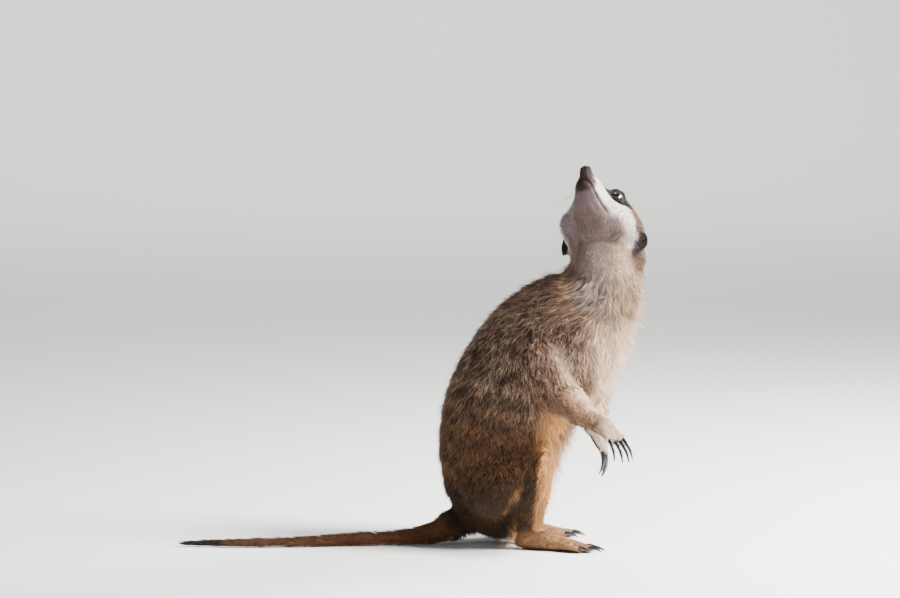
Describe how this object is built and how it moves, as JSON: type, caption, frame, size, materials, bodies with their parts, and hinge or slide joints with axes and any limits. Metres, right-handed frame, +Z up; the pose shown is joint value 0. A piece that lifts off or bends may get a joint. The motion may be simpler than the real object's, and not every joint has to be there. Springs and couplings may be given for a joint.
{
  "type": "meerkat, life-size model",
  "caption": "Still life-size meerkat sitting upright on its hind feet with the tail laid out behind, forepaws hanging and head tipped back to look up.",
  "frame": {"origin": "middle of the bounding box at floor level", "axes": "+X the way the pelvis and feet face, away from the tail; +Y the animal's left; +Z up"},
  "size_m": [0.3082, 0.1324, 0.2548],
  "materials": {
    "trunk": "grizzled grey-brown coat, matt",
    "neck": "grizzled grey-brown coat, matt",
    "upper_arm_L": "grizzled grey-brown coat, matt",
    "upper_arm_R": "grizzled grey-brown coat, matt",
    "forearm_L": "grizzled grey-brown coat, matt",
    "forearm_R": "grizzled grey-brown coat, matt",
    "tail_base": "tawny coat, matt",
    "tail_middle": "tawny coat, matt",
    "thigh_L": "tawny coat, matt",
    "thigh_R": "tawny coat, matt",
    "shank_L": "tawny coat, matt",
    "shank_R": "tawny coat, matt",
    "tail_tip": "dark brown coat, matt",
    "head": "cream coat, matt",
    "lower_jaw": "cream coat, matt",
    "hand_L": "cream coat, matt",
    "hand_R": "cream coat, matt",
    "foot_L": "cream coat, matt",
    "foot_R": "cream coat, matt",
    "ear_L": "black skin with short hair, matt",
    "ear_R": "black skin with short hair, matt",
    "nose": "bare moist skin, satin",
    "eye_L": "wet dark eye, gloss",
    "eye_R": "wet dark eye, gloss",
    "fore_claw_L1": "black horn, satin",
    "hind_claw_L1": "black horn, satin",
    "fore_claw_L2": "black horn, satin",
    "hind_claw_L2": "black horn, satin",
    "fore_claw_L3": "black horn, satin",
    "hind_claw_L3": "black horn, satin",
    "fore_claw_L4": "black horn, satin",
    "hind_claw_L4": "black horn, satin",
    "fore_claw_R1": "black horn, satin",
    "hind_claw_R1": "black horn, satin",
    "fore_claw_R2": "black horn, satin",
    "hind_claw_R2": "black horn, satin",
    "fore_claw_R3": "black horn, satin",
    "hind_claw_R3": "black horn, satin",
    "fore_claw_R4": "black horn, satin",
    "hind_claw_R4": "black horn, satin"
  },
  "bodies": {
    "root": {"trunk": "trunk", "neck": "neck", "upper_arm_L": "upper_arm_L", "upper_arm_R": "upper_arm_R", "forearm_L": "forearm_L", "forearm_R": "forearm_R", "tail_base": "tail_base", "tail_middle": "tail_middle", "thigh_L": "thigh_L", "thigh_R": "thigh_R", "shank_L": "shank_L", "shank_R": "shank_R", "tail_tip": "tail_tip", "head": "head", "lower_jaw": "lower_jaw", "hand_L": "hand_L", "hand_R": "hand_R", "foot_L": "foot_L", "foot_R": "foot_R", "ear_L": "ear_L", "ear_R": "ear_R", "nose": "nose", "eye_L": "eye_L", "eye_R": "eye_R", "fore_claw_L1": "fore_claw_L1", "hind_claw_L1": "hind_claw_L1", "fore_claw_L2": "fore_claw_L2", "hind_claw_L2": "hind_claw_L2", "fore_claw_L3": "fore_claw_L3", "hind_claw_L3": "hind_claw_L3", "fore_claw_L4": "fore_claw_L4", "hind_claw_L4": "hind_claw_L4", "fore_claw_R1": "fore_claw_R1", "hind_claw_R1": "hind_claw_R1", "fore_claw_R2": "fore_claw_R2", "hind_claw_R2": "hind_claw_R2", "fore_claw_R3": "fore_claw_R3", "hind_claw_R3": "hind_claw_R3", "fore_claw_R4": "fore_claw_R4", "hind_claw_R4": "hind_claw_R4"}
  },
  "joints": []
}
